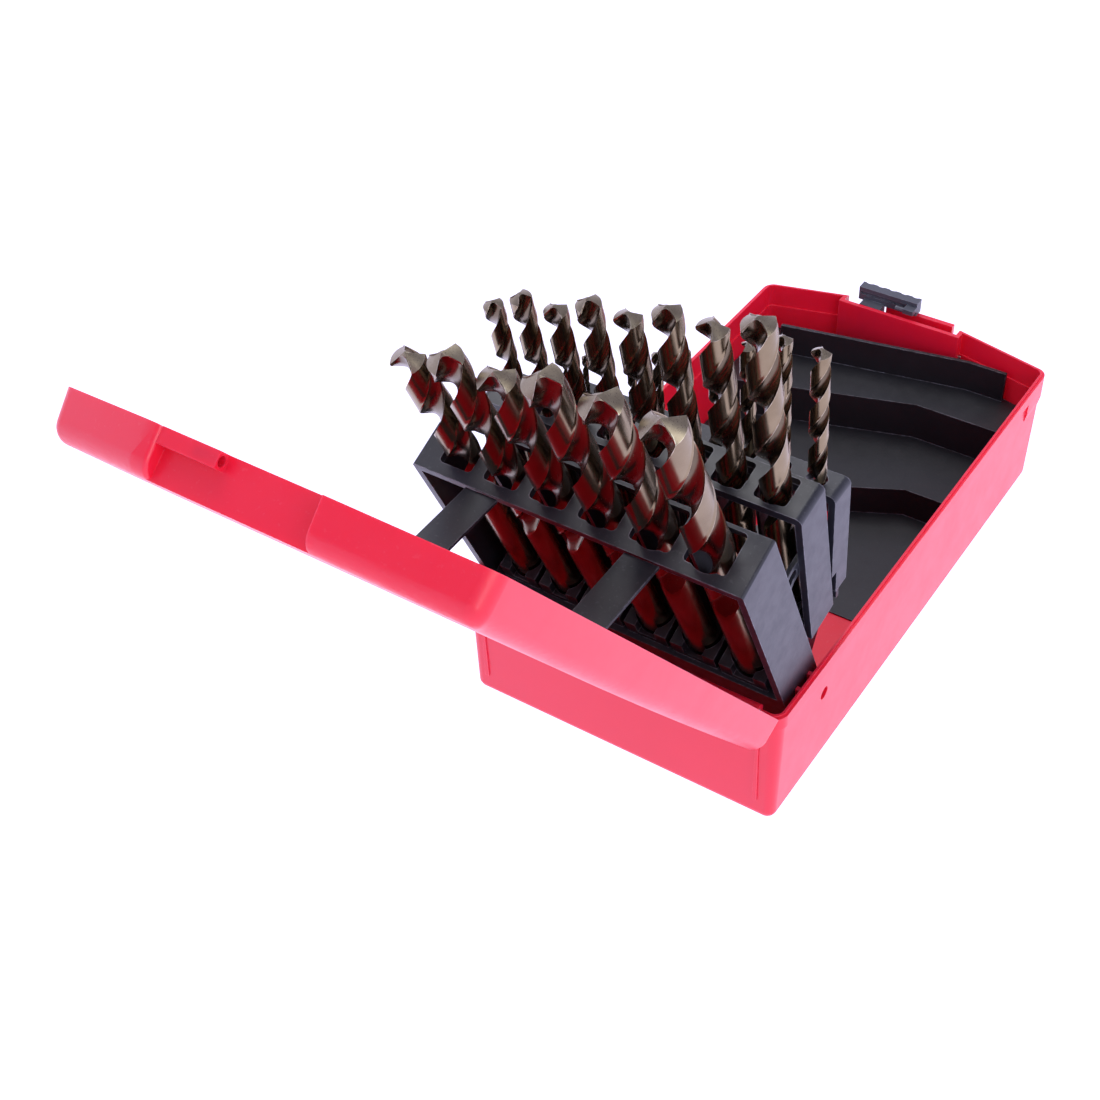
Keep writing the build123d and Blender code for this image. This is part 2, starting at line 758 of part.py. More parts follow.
def slider():
    # The neck slides on the rod in the pocket. The pin on the head enters the lid's catch from its end.
    y_back = recess_y + slider_gap
    y_plate = recess_y + tab_plate_offset - tab_plate_thickness - slider_gap
    left, right = slider_left, slider_left + slider_length
    neck_left = left + slider_neck_left
    neck = block(neck_left, neck_left + slider_neck_width, y_back, y_plate,
                 tub_height - pocket_drop + slider_gap, tub_height)
    head = block(left, right, head_y, head_y + slider_head_depth, tub_height - tab_plate_drop + 0.4, slider_top)
    join = block(neck_left, neck_left + slider_neck_width, y_plate - 1.4, head_y + 1,
                 tub_height - tab_plate_drop + 0.4, tub_height)
    pitch = slider_length / scallop_count
    for i in range(scallop_count):
        dip = Pos(left + (i + 0.5) * pitch, head_y + scallop_offset, tub_height - 1)
        head -= dip * Cylinder(scallop_radius, 12, align=low)
    middle = (slider_top + tub_height) / 2
    head -= block(left + slider_groove, right - slider_groove_end, head_y - 1, head_y + slider_groove,
                  middle - slider_groove, middle + slider_groove)
    web = block(right - 4.4, right, lock_y - lock_pin_radius, head_y + 0.5,
                lock_z - lock_pin_radius, lock_z + lock_pin_radius)
    pin = rod_x(lock_pin_radius, catch_right + 0.6, right - 4.0, lock_y, lock_z)
    body = neck + head + join + web + pin
    body -= rod_x(rod_radius + rod_clearance, left, right, rod_y, rod_height)
    return body


def latch_rod():
    return rod_x(rod_radius, pocket_left - rod_end_reach, pocket_right + rod_end_reach, rod_y, rod_height)


pieces = {
    "tub": tub(),
    "hinge_rod": hinge_rod(),
    "lid": lid(),
    "latch_slider": slider(),
    "latch_rod": latch_rod(),
    "bit_rest": bit_rest(),
    "large_tray": tray(large, large_bits),
    "medium_tray": tray(medium, medium_bits),
    "small_tray": tray(small, small_bits),
}
for side, word in ((-1, "left"), (1, "right")):
    pieces["tray_link_12_" + word] = tray_link(large, medium, side)
    pieces["tray_link_23_" + word] = tray_link(medium, small, side)
for place, word in zip(strap_places, ("left", "right")):
    pieces["lid_strap_" + word] = strap(place)
    pieces["strap_pin_" + word] = strap_pin(place)
for spec, bits in ((large, large_bits), (medium, medium_bits), (small, small_bits)):
    for name, shape in placed_bits(spec, bits):
        pieces[name] = shape

os.makedirs("parts", exist_ok=True)
for name, shape in pieces.items():
    export_step(shape, "parts/" + name + ".step")
    print(name, round(shape.volume, 1))
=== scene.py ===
import bpy
import bmesh
import json
from math import asin, atan2, cos, pi, radians, sin
from mathutils import Vector, Matrix

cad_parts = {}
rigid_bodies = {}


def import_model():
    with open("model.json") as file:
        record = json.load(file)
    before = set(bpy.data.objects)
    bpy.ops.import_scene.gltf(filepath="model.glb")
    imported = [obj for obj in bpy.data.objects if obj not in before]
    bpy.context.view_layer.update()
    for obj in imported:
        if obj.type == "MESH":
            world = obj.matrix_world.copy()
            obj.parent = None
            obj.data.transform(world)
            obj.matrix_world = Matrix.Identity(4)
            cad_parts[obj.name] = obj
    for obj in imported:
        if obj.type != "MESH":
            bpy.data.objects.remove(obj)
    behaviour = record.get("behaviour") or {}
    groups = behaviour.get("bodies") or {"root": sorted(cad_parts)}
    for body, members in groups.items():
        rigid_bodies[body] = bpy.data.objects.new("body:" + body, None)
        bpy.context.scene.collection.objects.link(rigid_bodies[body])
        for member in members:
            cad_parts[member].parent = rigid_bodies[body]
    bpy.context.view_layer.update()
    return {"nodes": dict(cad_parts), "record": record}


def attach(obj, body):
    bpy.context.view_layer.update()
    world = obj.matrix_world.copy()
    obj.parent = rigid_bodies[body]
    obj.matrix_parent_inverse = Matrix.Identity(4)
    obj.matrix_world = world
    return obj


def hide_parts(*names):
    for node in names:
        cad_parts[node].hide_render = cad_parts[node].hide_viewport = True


# Hinged drill bit case, open, with its three trays standing up
for leftover in list(bpy.data.objects):
    bpy.data.objects.remove(leftover)
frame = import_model()
nodes = frame["nodes"]
nodeBody = {name: body for body, names in frame["record"]["behaviour"]["bodies"].items() for name in names}
mm = 0.001
print("frame loaded:", len(nodes), "solids")

# Camera: where the photograph was taken from
cameraLook = dict(
    place=(216.27, -447.73, 450.33),  # mm
    azimuth=35.04,
    elevation=41.23,
    roll=-2.18,
    lens=57.073,
    shift=(-0.00522, -0.00739),
)


def addCamera(look):
    azimuth, elevation, roll = (radians(look[k]) for k in ("azimuth", "elevation", "roll"))
    forward = Vector((-sin(azimuth) * cos(elevation), cos(azimuth) * cos(elevation), -sin(elevation)))
    right = forward.cross(Vector((0, 0, 1))).normalized()
    up = right.cross(forward)
    rightRolled = right * cos(roll) + up * sin(roll)
    upRolled = up * cos(roll) - right * sin(roll)
    turn = Matrix((rightRolled, upRolled, -forward)).transposed().to_4x4()
    data = bpy.data.cameras.new("camera")
    data.lens = look["lens"]
    data.sensor_width = 36
    data.shift_x, data.shift_y = look["shift"]
    data.clip_start = 0.01
    camera = bpy.data.objects.new("camera", data)
    camera.matrix_world = Matrix.Translation(Vector(look["place"]) * mm) @ turn
    bpy.context.scene.collection.objects.link(camera)
    bpy.context.scene.camera = camera


addCamera(cameraLook)
print("camera placed")

# Studio: a glowing pale floor, bright walls under a dimmer ceiling, and two soft boxes
studioLook = dict(
    backdrop=(1.0, 1.0, 1.0),
    glowColor=(0.93, 0.90, 1.24),  # cool white
    wallGlow=1.18,
    ceilingGlow=0.42,
    climb=(0.15, 0.75),  # where the wall starts to dim and where the ceiling is reached
    floorColor=(0.08, 0.08, 0.08),
    floorGlow=1.28,
    floorSize=6.0,
    boxes=(  # name, place, target, size, power
        ("keyBox", (-0.35, 0.25, 1.3), (0, 0, 0.03), 0.9, 9.0),
        ("fillBox", (1.0, -0.5, 0.75), (0, 0, 0.03), 0.8, 5.0),
    ),
)


def addStudio(look):
    world = bpy.data.worlds.new("studioWorld")
    world.use_nodes = True
    tree = world.node_tree
    glow = tree.nodes["Background"]
    glow.inputs["Color"].default_value = (*look["glowColor"], 1)
    split = tree.nodes.new("ShaderNodeSeparateXYZ")
    tree.links.new(tree.nodes.new("ShaderNodeTexCoord").outputs["Generated"], split.inputs[0])
    climb = tree.nodes.new("ShaderNodeMapRange")
    climb.interpolation_type = "SMOOTHSTEP"
    tree.links.new(split.outputs["Z"], climb.inputs["Value"])
    heights = (*look["climb"], look["wallGlow"], look["ceilingGlow"])
    for label, value in zip(("From Min", "From Max", "To Min", "To Max"), heights):
        climb.inputs[label].default_value = value
    tree.links.new(climb.outputs["Result"], glow.inputs["Strength"])
    backdrop = tree.nodes.new("ShaderNodeBackground")
    backdrop.inputs["Color"].default_value = (*look["backdrop"], 1)
    pick = tree.nodes.new("ShaderNodeMixShader")
    tree.links.new(tree.nodes.new("ShaderNodeLightPath").outputs["Is Camera Ray"], pick.inputs["Fac"])
    tree.links.new(glow.outputs["Background"], pick.inputs[1])
    tree.links.new(backdrop.outputs["Background"], pick.inputs[2])
    tree.links.new(pick.outputs["Shader"], tree.nodes["World Output"].inputs["Surface"])
    bpy.context.scene.world = world
    bpy.context.scene.view_settings.view_transform = "Standard"
    mesh = bpy.data.meshes.new("floor")
    bm = bmesh.new()
    bmesh.ops.create_grid(bm, x_segments=2, y_segments=2, size=look["floorSize"] / 2)
    bmesh.ops.translate(bm, vec=(0, 0, -0.0002), verts=bm.verts)
    bm.to_mesh(mesh)
    bm.free()
    floor = bpy.data.objects.new("floor", mesh)
    material = bpy.data.materials.new("paleFloor")
    material.use_nodes = True
    shader = material.node_tree.nodes["Principled BSDF"]
    shader.inputs["Base Color"].default_value = (*look["floorColor"], 1)
    shader.inputs["Roughness"].default_value = 0.85
    shader.inputs["Emission Color"].default_value = (*look["glowColor"], 1)
    shader.inputs["Emission Strength"].default_value = look["floorGlow"]
    mesh.materials.append(material)
    bpy.context.scene.collection.objects.link(floor)
    for name, place, target, size, power in look["boxes"]:
        data = bpy.data.lights.new(name, "AREA")
        data.shape = "SQUARE"
        data.size = size
        data.energy = power
        light = bpy.data.objects.new(name, data)
        light.location = place
        light.rotation_euler = (Vector(target) - Vector(place)).to_track_quat("-Z", "Y").to_euler()
        bpy.context.scene.collection.objects.link(light)


addStudio(studioLook)
print("studio lit")


# Shared effects, each a node group with named sockets
def newGroup(name, inputs, outputs):
    group = bpy.data.node_groups.new(name, "ShaderNodeTree")
    for label, kind, value in inputs:
        socket = group.interface.new_socket(label, in_out="INPUT", socket_type=kind)
        socket.default_value = value
    for label, kind in outputs:
        group.interface.new_socket(label, in_out="OUTPUT", socket_type=kind)
    return group, group.nodes.new("NodeGroupInput"), group.nodes.new("NodeGroupOutput")


def addMath(tree, operation, a, b=None, clamp=False):
    node = tree.nodes.new("ShaderNodeMath")
    node.operation = operation
    node.use_clamp = clamp
    for socket, value in zip(node.inputs, (a, b)):
        if isinstance(value, (int, float)):
            socket.default_value = value
        elif value is not None:
            tree.links.new(value, socket)
    return node.outputs[0]


def addNoise(tree, vector, scale, detail=3.0, roughness=0.5):
    node = tree.nodes.new("ShaderNodeTexNoise")
    node.inputs["Detail"].default_value = detail
    node.inputs["Roughness"].default_value = roughness
    tree.links.new(vector, node.inputs["Vector"])
    if isinstance(scale, (int, float)):
        node.inputs["Scale"].default_value = scale
    else:
        tree.links.new(scale, node.inputs["Scale"])
    return node.outputs["Fac"]


def addRange(tree, value, fromLow, fromHigh, toLow=0.0, toHigh=1.0):
    node = tree.nodes.new("ShaderNodeMapRange")
    tree.links.new(value, node.inputs["Value"])
    limits = (fromLow, fromHigh, toLow, toHigh)
    for label, number in zip(("From Min", "From Max", "To Min", "To Max"), limits):
        if isinstance(number, (int, float)):
            node.inputs[label].default_value = number
        else:
            tree.links.new(number, node.inputs[label])
    return node.outputs["Result"]


def buildMouldGrain():
    # Fine spark-eroded grain of a moulding tool, with slow drifts in shade and gloss
    group, source, result = newGroup(
        "mouldGrain",
        (("Grain Scale", "NodeSocketFloat", 2200.0), ("Drift Scale", "NodeSocketFloat", 35.0)),
        (("Height", "NodeSocketFloat"), ("Shade", "NodeSocketFloat"), ("Gloss", "NodeSocketFloat")),
    )
    place = group.nodes.new("ShaderNodeTexCoord").outputs["Object"]
    grain = addNoise(group, place, source.outputs["Grain Scale"], 2.0, 0.6)
    drift = addNoise(group, place, source.outputs["Drift Scale"], 4.0, 0.55)
    smear = addNoise(group, place, addMath(group, "MULTIPLY", source.outputs["Drift Scale"], 5.0), 3.0, 0.6)
    group.links.new(grain, result.inputs["Height"])
    group.links.new(addRange(group, drift, 0.3, 0.7), result.inputs["Shade"])
    group.links.new(addRange(group, smear, 0.35, 0.7), result.inputs["Gloss"])
    return group


def buildEdgeWearAndHighlight():
    # Rubbed edges, and on the black plastic a painted edge highlight: where the surface turns within the
    # radius, broken up by a noise
    group, source, result = newGroup(
        "edgeWearAndHighlight",
        (
            ("Radius", "NodeSocketFloat", 0.0006),
            ("Break Up", "NodeSocketFloat", 300.0),
            ("Amount", "NodeSocketFloat", 0.5),
        ),
        (("Mask", "NodeSocketFloat"),),
    )
    bevel = group.nodes.new("ShaderNodeBevel")
    bevel.samples = 6
    group.links.new(source.outputs["Radius"], bevel.inputs["Radius"])
    plain = group.nodes.new("ShaderNodeNewGeometry").outputs["Normal"]
    dot = group.nodes.new("ShaderNodeVectorMath")
    dot.operation = "DOT_PRODUCT"
    group.links.new(bevel.outputs["Normal"], dot.inputs[0])
    group.links.new(plain, dot.inputs[1])
    turn = addRange(group, dot.outputs["Value"], 0.995, 0.86)
    place = group.nodes.new("ShaderNodeTexCoord").outputs["Object"]
    patches = addRange(group, addNoise(group, place, source.outputs["Break Up"], 4.0, 0.65), 0.38, 0.62)
    worn = addMath(group, "MULTIPLY", turn, patches)
    group.links.new(addMath(group, "MULTIPLY", worn, source.outputs["Amount"], True), result.inputs["Mask"])
    return group


def buildFineDust():
    # Specks and a faint film on faces that look up
    group, source, result = newGroup(
        "fineDust",
        (("Speck Scale", "NodeSocketFloat", 900.0), ("Amount", "NodeSocketFloat", 0.2)),
        (("Mask", "NodeSocketFloat"),),
    )
    coords = group.nodes.new("ShaderNodeTexCoord")
    split = group.nodes.new("ShaderNodeSeparateXYZ")
    group.links.new(coords.outputs["Normal"], split.inputs[0])
    facing = addRange(group, split.outputs["Z"], 0.2, 0.9)
    specks = addNoise(group, coords.outputs["Object"], source.outputs["Speck Scale"], 2.0)
    speck = addRange(group, specks, 0.62, 0.72)
    film = addRange(group, addNoise(group, coords.outputs["Object"], 60.0, 5.0, 0.6), 0.4, 0.75, 0.0, 0.35)
    both = addMath(group, "MULTIPLY", addMath(group, "MAXIMUM", speck, film), facing)
    group.links.new(addMath(group, "MULTIPLY", both, source.outputs["Amount"], True), result.inputs["Mask"])
    return group


def buildDrawnStreaks():
    # Streaks along the bits and slow blooms of oxide colour
    group, source, result = newGroup(
        "drawnStreaks",
        (("Streak Scale", "NodeSocketFloat", 900.0), ("Bloom Scale", "NodeSocketFloat", 60.0)),
        (("Height", "NodeSocketFloat"), ("Bloom", "NodeSocketFloat"), ("Gloss", "NodeSocketFloat")),
    )
    place = group.nodes.new("ShaderNodeTexCoord").outputs["Object"]
    stretch = group.nodes.new("ShaderNodeMapping")
    stretch.inputs["Scale"].default_value = (1.0, 1.0, 0.12)
    group.links.new(place, stretch.inputs["Vector"])
    streak = addNoise(group, stretch.outputs[0], source.outputs["Streak Scale"], 3.0, 0.6)
    bloom = addNoise(group, place, source.outputs["Bloom Scale"], 4.0, 0.6)
    group.links.new(streak, result.inputs["Height"])
    group.links.new(addRange(group, bloom, 0.35, 0.68), result.inputs["Bloom"])
    group.links.new(addRange(group, streak, 0.3, 0.7), result.inputs["Gloss"])
    return group


mouldGrain = buildMouldGrain()
edgeWearAndHighlight = buildEdgeWearAndHighlight()
fineDust = buildFineDust()
drawnStreaks = buildDrawnStreaks()


def placeGroup(tree, group, values):
    node = tree.nodes.new("ShaderNodeGroup")
    node.node_tree = group
    for label, value in values.items():
        node.inputs[label].default_value = value
    return node


def mixColors(tree, factor, first, second):
    node = tree.nodes.new("ShaderNodeMix")
    node.data_type = "RGBA"
    tree.links.new(factor, node.inputs["Factor"])
    for socket, value in ((node.inputs[6], first), (node.inputs[7], second)):
        if isinstance(value, tuple):
            socket.default_value = (*value, 1)
        else:
            tree.links.new(value, socket)
    return node.outputs[2]


def mouldedMaterial(name, look):
    material = bpy.data.materials.new(name)
    material.use_nodes = True
    tree = material.node_tree
    shader = tree.nodes["Principled BSDF"]
    shader.inputs["IOR"].default_value = look["ior"]
    shader.inputs["Subsurface Weight"].default_value = look["glow"]
    shader.inputs["Subsurface Scale"].default_value = look["glowReach"]
    shader.inputs["Subsurface Radius"].default_value = (1.0, 0.12, 0.12)
    scales = {"Grain Scale": look["grainScale"], "Drift Scale": look["driftScale"]}
    grain = placeGroup(tree, mouldGrain, scales)
    wearAndHighlight = placeGroup(tree, edgeWearAndHighlight, {"Radius": look["wearAndHighlightRadius"], "Amount": look["wearAndHighlight"]})
    dust = placeGroup(tree, fineDust, {"Amount": look["dust"]})
    color = mixColors(tree, grain.outputs["Shade"], look["color"], look["colorDrift"])
    # Edges mixed toward the edge colour: rubbed wear, and on the black plastic a painted edge highlight
    color = mixColors(tree, wearAndHighlight.outputs["Mask"], color, look["wearAndHighlightColor"])
    color = mixColors(tree, dust.outputs["Mask"], color, look["dustColor"])
    tree.links.new(color, shader.inputs["Base Color"])
    gloss = addRange(tree, grain.outputs["Gloss"], 0.0, 1.0, *look["roughness"])
    dulled = addMath(tree, "MULTIPLY", dust.outputs["Mask"], 0.3)
    tree.links.new(addMath(tree, "ADD", gloss, dulled, True), shader.inputs["Roughness"])
    bump = tree.nodes.new("ShaderNodeBump")
    bump.inputs["Strength"].default_value = look["grainStrength"]
    bump.inputs["Distance"].default_value = look["grainDepth"]
    tree.links.new(grain.outputs["Height"], bump.inputs["Height"])
    tree.links.new(bump.outputs["Normal"], shader.inputs["Normal"])
    return material


def metalMaterial(name, look):
    material = bpy.data.materials.new(name)
    material.use_nodes = True
    tree = material.node_tree
    shader = tree.nodes["Principled BSDF"]
    shader.inputs["Metallic"].default_value = look["metallic"]
    scales = {"Streak Scale": look["streakScale"], "Bloom Scale": look["bloomScale"]}
    streaks = placeGroup(tree, drawnStreaks, scales)
    edges = {"Radius": look["wearAndHighlightRadius"], "Amount": look["wearAndHighlight"], "Break Up": 700.0}
    wearAndHighlight = placeGroup(tree, edgeWearAndHighlight, edges)
    color = mixColors(tree, streaks.outputs["Bloom"], look["color"], look["colorDrift"])
    color = mixColors(tree, wearAndHighlight.outputs["Mask"], color, look["wearAndHighlightColor"])
    tree.links.new(color, shader.inputs["Base Color"])
    gloss = addRange(tree, streaks.outputs["Gloss"], 0.0, 1.0, *look["roughness"])
    tree.links.new(gloss, shader.inputs["Roughness"])
    bump = tree.nodes.new("ShaderNodeBump")
    bump.inputs["Strength"].default_value = look["grainStrength"]
    bump.inputs["Distance"].default_value = look["grainDepth"]
    tree.links.new(streaks.outputs["Height"], bump.inputs["Height"])
    tree.links.new(bump.outputs["Normal"], shader.inputs["Normal"])
    return material


redPlasticLook = dict(
    color=(0.80, 0.010, 0.042), colorDrift=(0.76, 0.008, 0.035), ior=1.55, roughness=(0.29, 0.34),
    grainScale=2600.0, driftScale=18.0, grainStrength=0.12, grainDepth=0.00003,
    wearAndHighlightRadius=0.0007, wearAndHighlight=0.42, wearAndHighlightColor=(0.95, 0.10, 0.15), dust=0.04, dustColor=(0.85, 0.6, 0.62),
    glow=0.35, glowReach=0.004,
)
# Black plastic: the light edge colour and strong edge amount are partly real rubbed wear and partly a
# painted highlight along ledges and lips
blackPlasticLook = dict(
    color=(0.010, 0.011, 0.017), colorDrift=(0.015, 0.017, 0.024), ior=1.52, roughness=(0.34, 0.42),
    grainScale=3400.0, driftScale=40.0, grainStrength=0.30, grainDepth=0.00005,
    wearAndHighlightRadius=0.0006, wearAndHighlight=0.95, wearAndHighlightColor=(0.24, 0.24, 0.28), dust=0.05, dustColor=(0.42, 0.42, 0.46),
    glow=0.0, glowReach=0.001,
)
# Its lighter edge colour is likewise partly rubbed wear and partly a painted edge highlight
restPlasticLook = dict(
    blackPlasticLook, color=(0.007, 0.007, 0.009), colorDrift=(0.010, 0.010, 0.013),
    wearAndHighlightColor=(0.20, 0.20, 0.24), roughness=(0.42, 0.50), dust=0.02,
)
greyLatchLook = dict(
    color=(0.060, 0.064, 0.080), colorDrift=(0.074, 0.078, 0.096), ior=1.5, roughness=(0.36, 0.44),
    grainScale=2600.0, driftScale=60.0, grainStrength=0.25, grainDepth=0.00004,
    wearAndHighlightRadius=0.0005, wearAndHighlight=0.6, wearAndHighlightColor=(0.26, 0.27, 0.31), dust=0.06, dustColor=(0.5, 0.5, 0.54),
    glow=0.0, glowReach=0.001,
)
steelRodLook = dict(
    color=(0.55, 0.54, 0.53), colorDrift=(0.42, 0.41, 0.40), metallic=1.0, roughness=(0.22, 0.4),
    streakScale=2500.0, bloomScale=120.0, grainStrength=0.15, grainDepth=0.00002,
    wearAndHighlightRadius=0.0003, wearAndHighlight=0.4, wearAndHighlightColor=(0.8, 0.8, 0.8),
)
bronzeLandLook = dict(
    color=(0.32, 0.25, 0.155), colorDrift=(0.25, 0.19, 0.115), metallic=1.0, roughness=(0.22, 0.27),
    streakScale=1300.0, bloomScale=70.0, grainStrength=0.03, grainDepth=0.00002,
    wearAndHighlightRadius=0.00035, wearAndHighlight=0.75, wearAndHighlightColor=(0.84, 0.72, 0.57),
)
# Flute bronze: the same polished bronze as the lands, made darker as painted shade in the flute hollows
shadedFluteBronzeLook = dict(
    color=(0.185, 0.145, 0.098), colorDrift=(0.14, 0.108, 0.072), metallic=1.0, roughness=(0.22, 0.28),
    streakScale=1500.0, bloomScale=90.0, grainStrength=0.03, grainDepth=0.00002,
    wearAndHighlightRadius=0.00035, wearAndHighlight=0.5, wearAndHighlightColor=(0.74, 0.62, 0.48),
)
groundPointLook = dict(
    color=(0.33, 0.285, 0.20), colorDrift=(0.25, 0.21, 0.145), metallic=1.0, roughness=(0.26, 0.34),
    streakScale=2600.0, bloomScale=240.0, grainStrength=0.10, grainDepth=0.00002,
    wearAndHighlightRadius=0.00035, wearAndHighlight=0.7, wearAndHighlightColor=(0.82, 0.76, 0.66),
)
redPlastic = mouldedMaterial("redPlastic", redPlasticLook)
blackPlastic = mouldedMaterial("blackPlastic", blackPlasticLook)
restPlastic = mouldedMaterial("restPlastic", restPlasticLook)
greyLatch = mouldedMaterial("greyLatch", greyLatchLook)
steelRod = metalMaterial("steelRod", steelRodLook)
bronzeLand = metalMaterial("bronzeLand", bronzeLandLook)
shadedFluteBronze = metalMaterial("shadedFluteBronze", shadedFluteBronzeLook)
groundPoint = metalMaterial("groundPoint", groundPointLook)
print("materials made")


# Moulded pieces: the solid's own shape with its moulded edge radii
def dressNode(nodeName, pieceName, look, material):
    mesh = nodes[nodeName].data.copy()
    mesh.name = pieceName
    bm = bmesh.new()
    bm.from_mesh(mesh)
    bmesh.ops.remove_doubles(bm, verts=bm.verts, dist=2e-6)
    bmesh.ops.dissolve_limit(bm, angle_limit=radians(look["flat"]), verts=bm.verts, edges=bm.edges)
    for face in bm.faces:
        face.smooth = True
    bm.to_mesh(mesh)
    bm.free()
    mesh.materials.clear()
    mesh.materials.append(material)
    piece = bpy.data.objects.new(pieceName, mesh)
    bpy.context.scene.collection.objects.link(piece)
    bevel = piece.modifiers.new("edgeRadius", "BEVEL")
    bevel.width = look["edge"] * mm
    bevel.segments = look["segments"]
    bevel.limit_method = "ANGLE"
    bevel.angle_limit = radians(32)
    bevel.use_clamp_overlap = True
    normals = piece.modifiers.new("flatNormals", "WEIGHTED_NORMAL")
    normals.keep_sharp = True
    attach(piece, nodeBody[nodeName])
    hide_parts(nodeName)
    return piece


shellLook = dict(edge=0.35, segments=2, flat=0.6)
trayLook = dict(edge=0.22, segments=2, flat=0.6)
trimLook = dict(edge=0.16, segments=2, flat=0.6)
dressed = [
    ("tub", "tubShell", shellLook, redPlastic, "red_shell"),
    ("lid", "lidShell", shellLook, redPlastic, "red_shell"),
    ("bit_rest", "steppedRest", trayLook, restPlastic, "black_plastic"),
    ("large_tray", "trayForLargeBits", trayLook, blackPlastic, "black_plastic"),
    ("medium_tray", "trayForMediumBits", trayLook, blackPlastic, "black_plastic"),
    ("small_tray", "trayForSmallBits", trayLook, blackPlastic, "black_plastic"),
    ("latch_slider", "latchSlider", trimLook, greyLatch, "grey_latch"),
    ("latch_rod", "latchRod", trimLook, steelRod, "steel_rod"),
    ("hinge_rod", "hingeRod", trimLook, steelRod, "steel_rod"),
    ("lid_strap_left", "strapLeft", trimLook, blackPlastic, "black_plastic"),
    ("lid_strap_right", "strapRight", trimLook, blackPlastic, "black_plastic"),
    ("strap_pin_left", "strapPinLeft", trimLook, steelRod, "steel_rod"),
    ("strap_pin_right", "strapPinRight", trimLook, steelRod, "steel_rod"),
    ("tray_link_12_left", "outerLinkLeft", trimLook, blackPlastic, "black_plastic"),
    ("tray_link_12_right", "outerLinkRight", trimLook, blackPlastic, "black_plastic"),
    ("tray_link_23_left", "innerLinkLeft", trimLook, blackPlastic, "black_plastic"),
    ("tray_link_23_right", "innerLinkRight", trimLook, blackPlastic, "black_plastic"),
]
for nodeName, pieceName, look, material, slotName in dressed:
    dressNode(nodeName, pieceName, look, material)
print("moulded pieces dressed:", len(dressed))

# Twist drill bits: shank, two flutes that run out into it, margins and a ground point
bitLook = dict(
    ringPoints=72,  # points round the section, so that 5 degrees lie between two
    fluteHalf=45.0,  # half opening of a flute, degrees
    fluteCentre=0.9253,  # middle of the flute's arc, by the radius
    fluteRadius=0.74,  # radius of the flute's arc, by the radius
    margin=8.0,  # width of the raised margin, degrees
    relief=0.965,  # land radius behind the margin
    pitchRatio=4.6,
    pitchBase=3.0,
    runOut=1.1,  # run-out length in diameters
    stepAngle=9.0,  # degrees a ring
    pointHeight=0.6,  # height of the point by its radius
    lipRelief=0.16,  # how far the heel falls behind the lip, by the radius
    chamfer=0.09,  # by the radius
)
bitSizes = (  # diameter and flute length in mm, turn in its seat in degrees
    (1.0, 12, 77), (1.5, 18, 116), (2.0, 24, 154), (2.5, 30, 12), (3.0, 33, 51), (3.5, 39, 90),
    (4.0, 43, 128), (4.5, 47, 166), (5.0, 52, 25), (5.5, 57, 64), (6.0, 57, 102),
    (6.5, 63, 150), (7.0, 69, 160), (7.5, 69, 150), (8.0, 75, 165), (8.5, 75, 150),
    (9.0, 81, 160), (9.5, 81, 150), (10.0, 87, 170),
    (10.5, 87, 5), (11.0, 94, 35), (11.5, 94, 25), (12.0, 101, 45), (12.5, 101, 50),
    (13.0, 101, 50),
)


def sectionPlace(turn, look):
    # Place on the fluted section of a bit of radius 1, for a point at this angle on the plain circle
    half = radians(look["fluteHalf"])
    folded = (turn + half) % pi - half  # from the middle of the nearest flute
    side = 1 if cos(turn - folded) > 0 else -1
    if abs(folded) < half - 0.001:
        sweep = asin(sin(half) / look["fluteRadius"]) * folded / half
        x = look["fluteCentre"] - look["fluteRadius"] * cos(sweep)
        y = look["fluteRadius"] * sin(sweep)
        return side * x, side * y
    fromLip = pi - half - folded  # the lip leads the land
    reach = 1.0 if fromLip < radians(look["margin"]) else look["relief"]
    return reach * cos(turn), reach * sin(turn)


def bitAxis(nodeName):
    # Base point and direction of a standing bit, from its own solid
    size = float(nodeName[4:].replace("_", "."))
    tilt = radians(5.4 if size < 6.25 else 14.4 if size < 10.25 else 24.6)
    along = Vector((0, -sin(tilt), cos(tilt)))
    across = Vector((0, cos(tilt), sin(tilt)))
    places = [v.co for v in nodes[nodeName].data.vertices]
    spans = [[v.dot(d) for v in places] for d in (Vector((1, 0, 0)), across, along)]
    middle = [(min(s) + max(s)) / 2 for s in spans]
    base = Vector((middle[0], 0, 0)) + across * middle[1] + along * min(spans[2])
    return base, tilt, max(spans[2]) - min(spans[2])


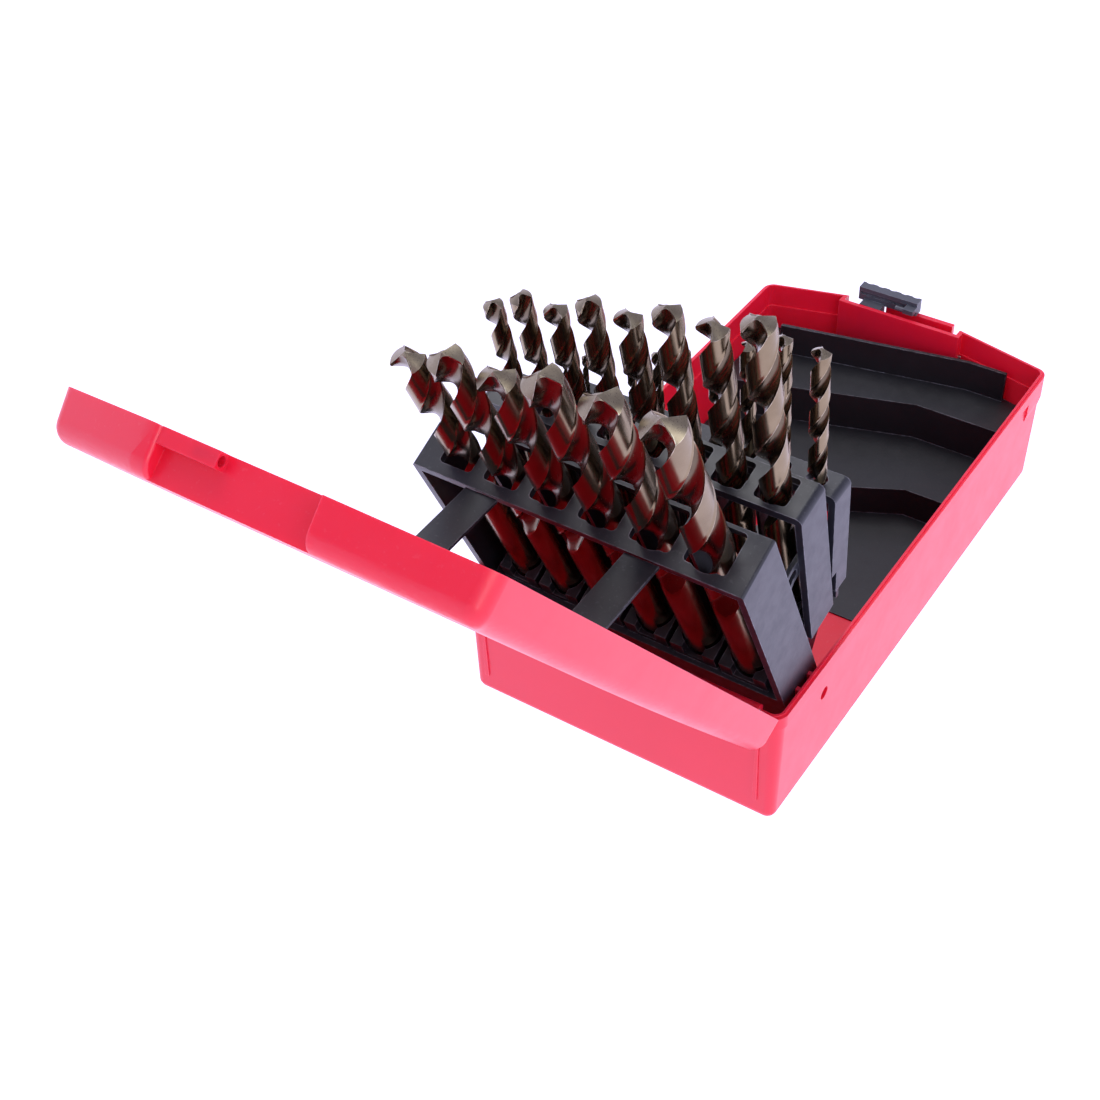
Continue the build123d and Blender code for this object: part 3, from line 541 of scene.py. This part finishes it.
def buildBit(diameter, flute, seatTurn, look):
    nodeName = f"bit_{int(diameter):02d}_{int(diameter * 10) % 10}"
    radius = diameter / 2 * mm
    base, tilt, height = bitAxis(nodeName)
    pitch = (look["pitchRatio"] * diameter + look["pitchBase"]) * mm
    pointBase = height - (look["pointHeight"] + look["lipRelief"]) * radius
    start = height - flute * mm - look["runOut"] * diameter * mm * 0.5
    turn = (pointBase - start) / pitch * 2 * pi
    steps = max(12, int(turn / radians(look["stepAngle"])))
    rise = (pointBase - start) / steps
    bm = bmesh.new()
    tag = bm.verts.layers.float.new("share")
    bmesh.ops.create_circle(bm, cap_ends=False, segments=look["ringPoints"], radius=radius)
    bmesh.ops.translate(bm, vec=(0, 0, start), verts=bm.verts)
    for v in bm.verts:
        v[tag] = atan2(v.co.y, v.co.x)
    bottomEdges = list(bm.edges)
    spun = bmesh.ops.spin(bm, geom=bm.verts[:] + bm.edges[:], cent=(0, 0, 0), axis=(0, 0, 1),
                          dvec=(0, 0, rise), angle=turn, steps=steps, use_merge=False)
    topEdges = [e for e in spun["geom_last"] if isinstance(e, bmesh.types.BMEdge)]
    for v in bm.verts:
        climb = (v.co.z - start) / (look["runOut"] * diameter * mm)
        blend = min(1.0, max(0.0, climb))
        blend = blend * blend * (3 - 2 * blend)
        x, y = sectionPlace(v[tag], look)
        plain = Vector((cos(v[tag]), sin(v[tag]))) * radius
        placed = plain.lerp(Vector((x, y)) * radius, blend)
        spin = Matrix.Rotation((v.co.z - start) / (pointBase - start) * turn, 2)
        v.co.x, v.co.y = spin @ placed
    lower = bmesh.ops.extrude_edge_only(bm, edges=bottomEdges)["geom"]
    lowerVerts = [g for g in lower if isinstance(g, bmesh.types.BMVert)]
    lowerEdges = [g for g in lower if isinstance(g, bmesh.types.BMEdge)]
    chamfer = look["chamfer"] * radius
    bmesh.ops.translate(bm, vec=(0, 0, chamfer - start), verts=lowerVerts)
    end = bmesh.ops.extrude_edge_only(bm, edges=lowerEdges)["geom"]
    endVerts = [g for g in end if isinstance(g, bmesh.types.BMVert)]
    endEdges = [g for g in end if isinstance(g, bmesh.types.BMEdge)]
    bmesh.ops.scale(bm, vec=(1 - look["chamfer"], 1 - look["chamfer"], 1), verts=endVerts)
    bmesh.ops.translate(bm, vec=(0, 0, -chamfer), verts=endVerts)
    bmesh.ops.contextual_create(bm, geom=endEdges)
    point = bmesh.ops.extrude_edge_only(bm, edges=topEdges)["geom"]
    pointVerts = [g for g in point if isinstance(g, bmesh.types.BMVert)]
    pointEdges = [g for g in point if isinstance(g, bmesh.types.BMEdge)]
    for v in pointVerts:
        reach = Vector((v.co.x, v.co.y)).length
        half = radians(look["fluteHalf"])
        folded = (v[tag] + half) % pi - half
        if folded > half - 0.001:
            behind = min(1.0, (pi - half - folded) / (pi - 2 * half))
        else:
            behind = 1 - (folded + half) / (2 * half)
        v.co.z = height - reach * (look["pointHeight"] + look["lipRelief"] * behind)
    cap = bmesh.ops.contextual_create(bm, geom=pointEdges)["faces"]
    fan = bmesh.ops.poke(bm, faces=cap)
    for v in fan["verts"]:
        v.co = (0, 0, height)
    bmesh.ops.remove_doubles(bm, verts=bm.verts, dist=1e-7)
    bmesh.ops.recalc_face_normals(bm, faces=bm.faces)
    for face in bm.faces:
        face.smooth = True
        away = face.calc_center_median()
        reach = Vector((away.x, away.y)).length / radius
        if face.normal.z > 0.5 and away.z > pointBase - 0.3 * radius:
            face.material_index = 2
        # Faces inside the flutes take the darker flute bronze, painted shade in the hollows
        elif reach < 0.93 and away.z > start:
            face.material_index = 1
    for edge in bm.edges:
        if len(edge.link_faces) == 2 and edge.calc_face_angle(0) > radians(33):
            edge.smooth = False
    bmesh.ops.rotate(bm, cent=(0, 0, 0), matrix=Matrix.Rotation(radians(seatTurn), 3, "Z"), verts=bm.verts)
    bmesh.ops.rotate(bm, cent=(0, 0, 0), matrix=Matrix.Rotation(tilt, 3, "X"), verts=bm.verts)
    bmesh.ops.translate(bm, vec=base, verts=bm.verts)
    mesh = bpy.data.meshes.new(f"drillBit{diameter:g}".replace(".", "p"))
    bm.to_mesh(mesh)
    bm.free()
    for material in (bronzeLand, shadedFluteBronze, groundPoint):
        mesh.materials.append(material)
    piece = bpy.data.objects.new(mesh.name, mesh)
    bpy.context.scene.collection.objects.link(piece)
    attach(piece, nodeBody[nodeName])
    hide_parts(nodeName)
    return piece


for diameter, flute, seatTurn in bitSizes:
    buildBit(diameter, flute, seatTurn, bitLook)
print("drill bits cut:", len(bitSizes))
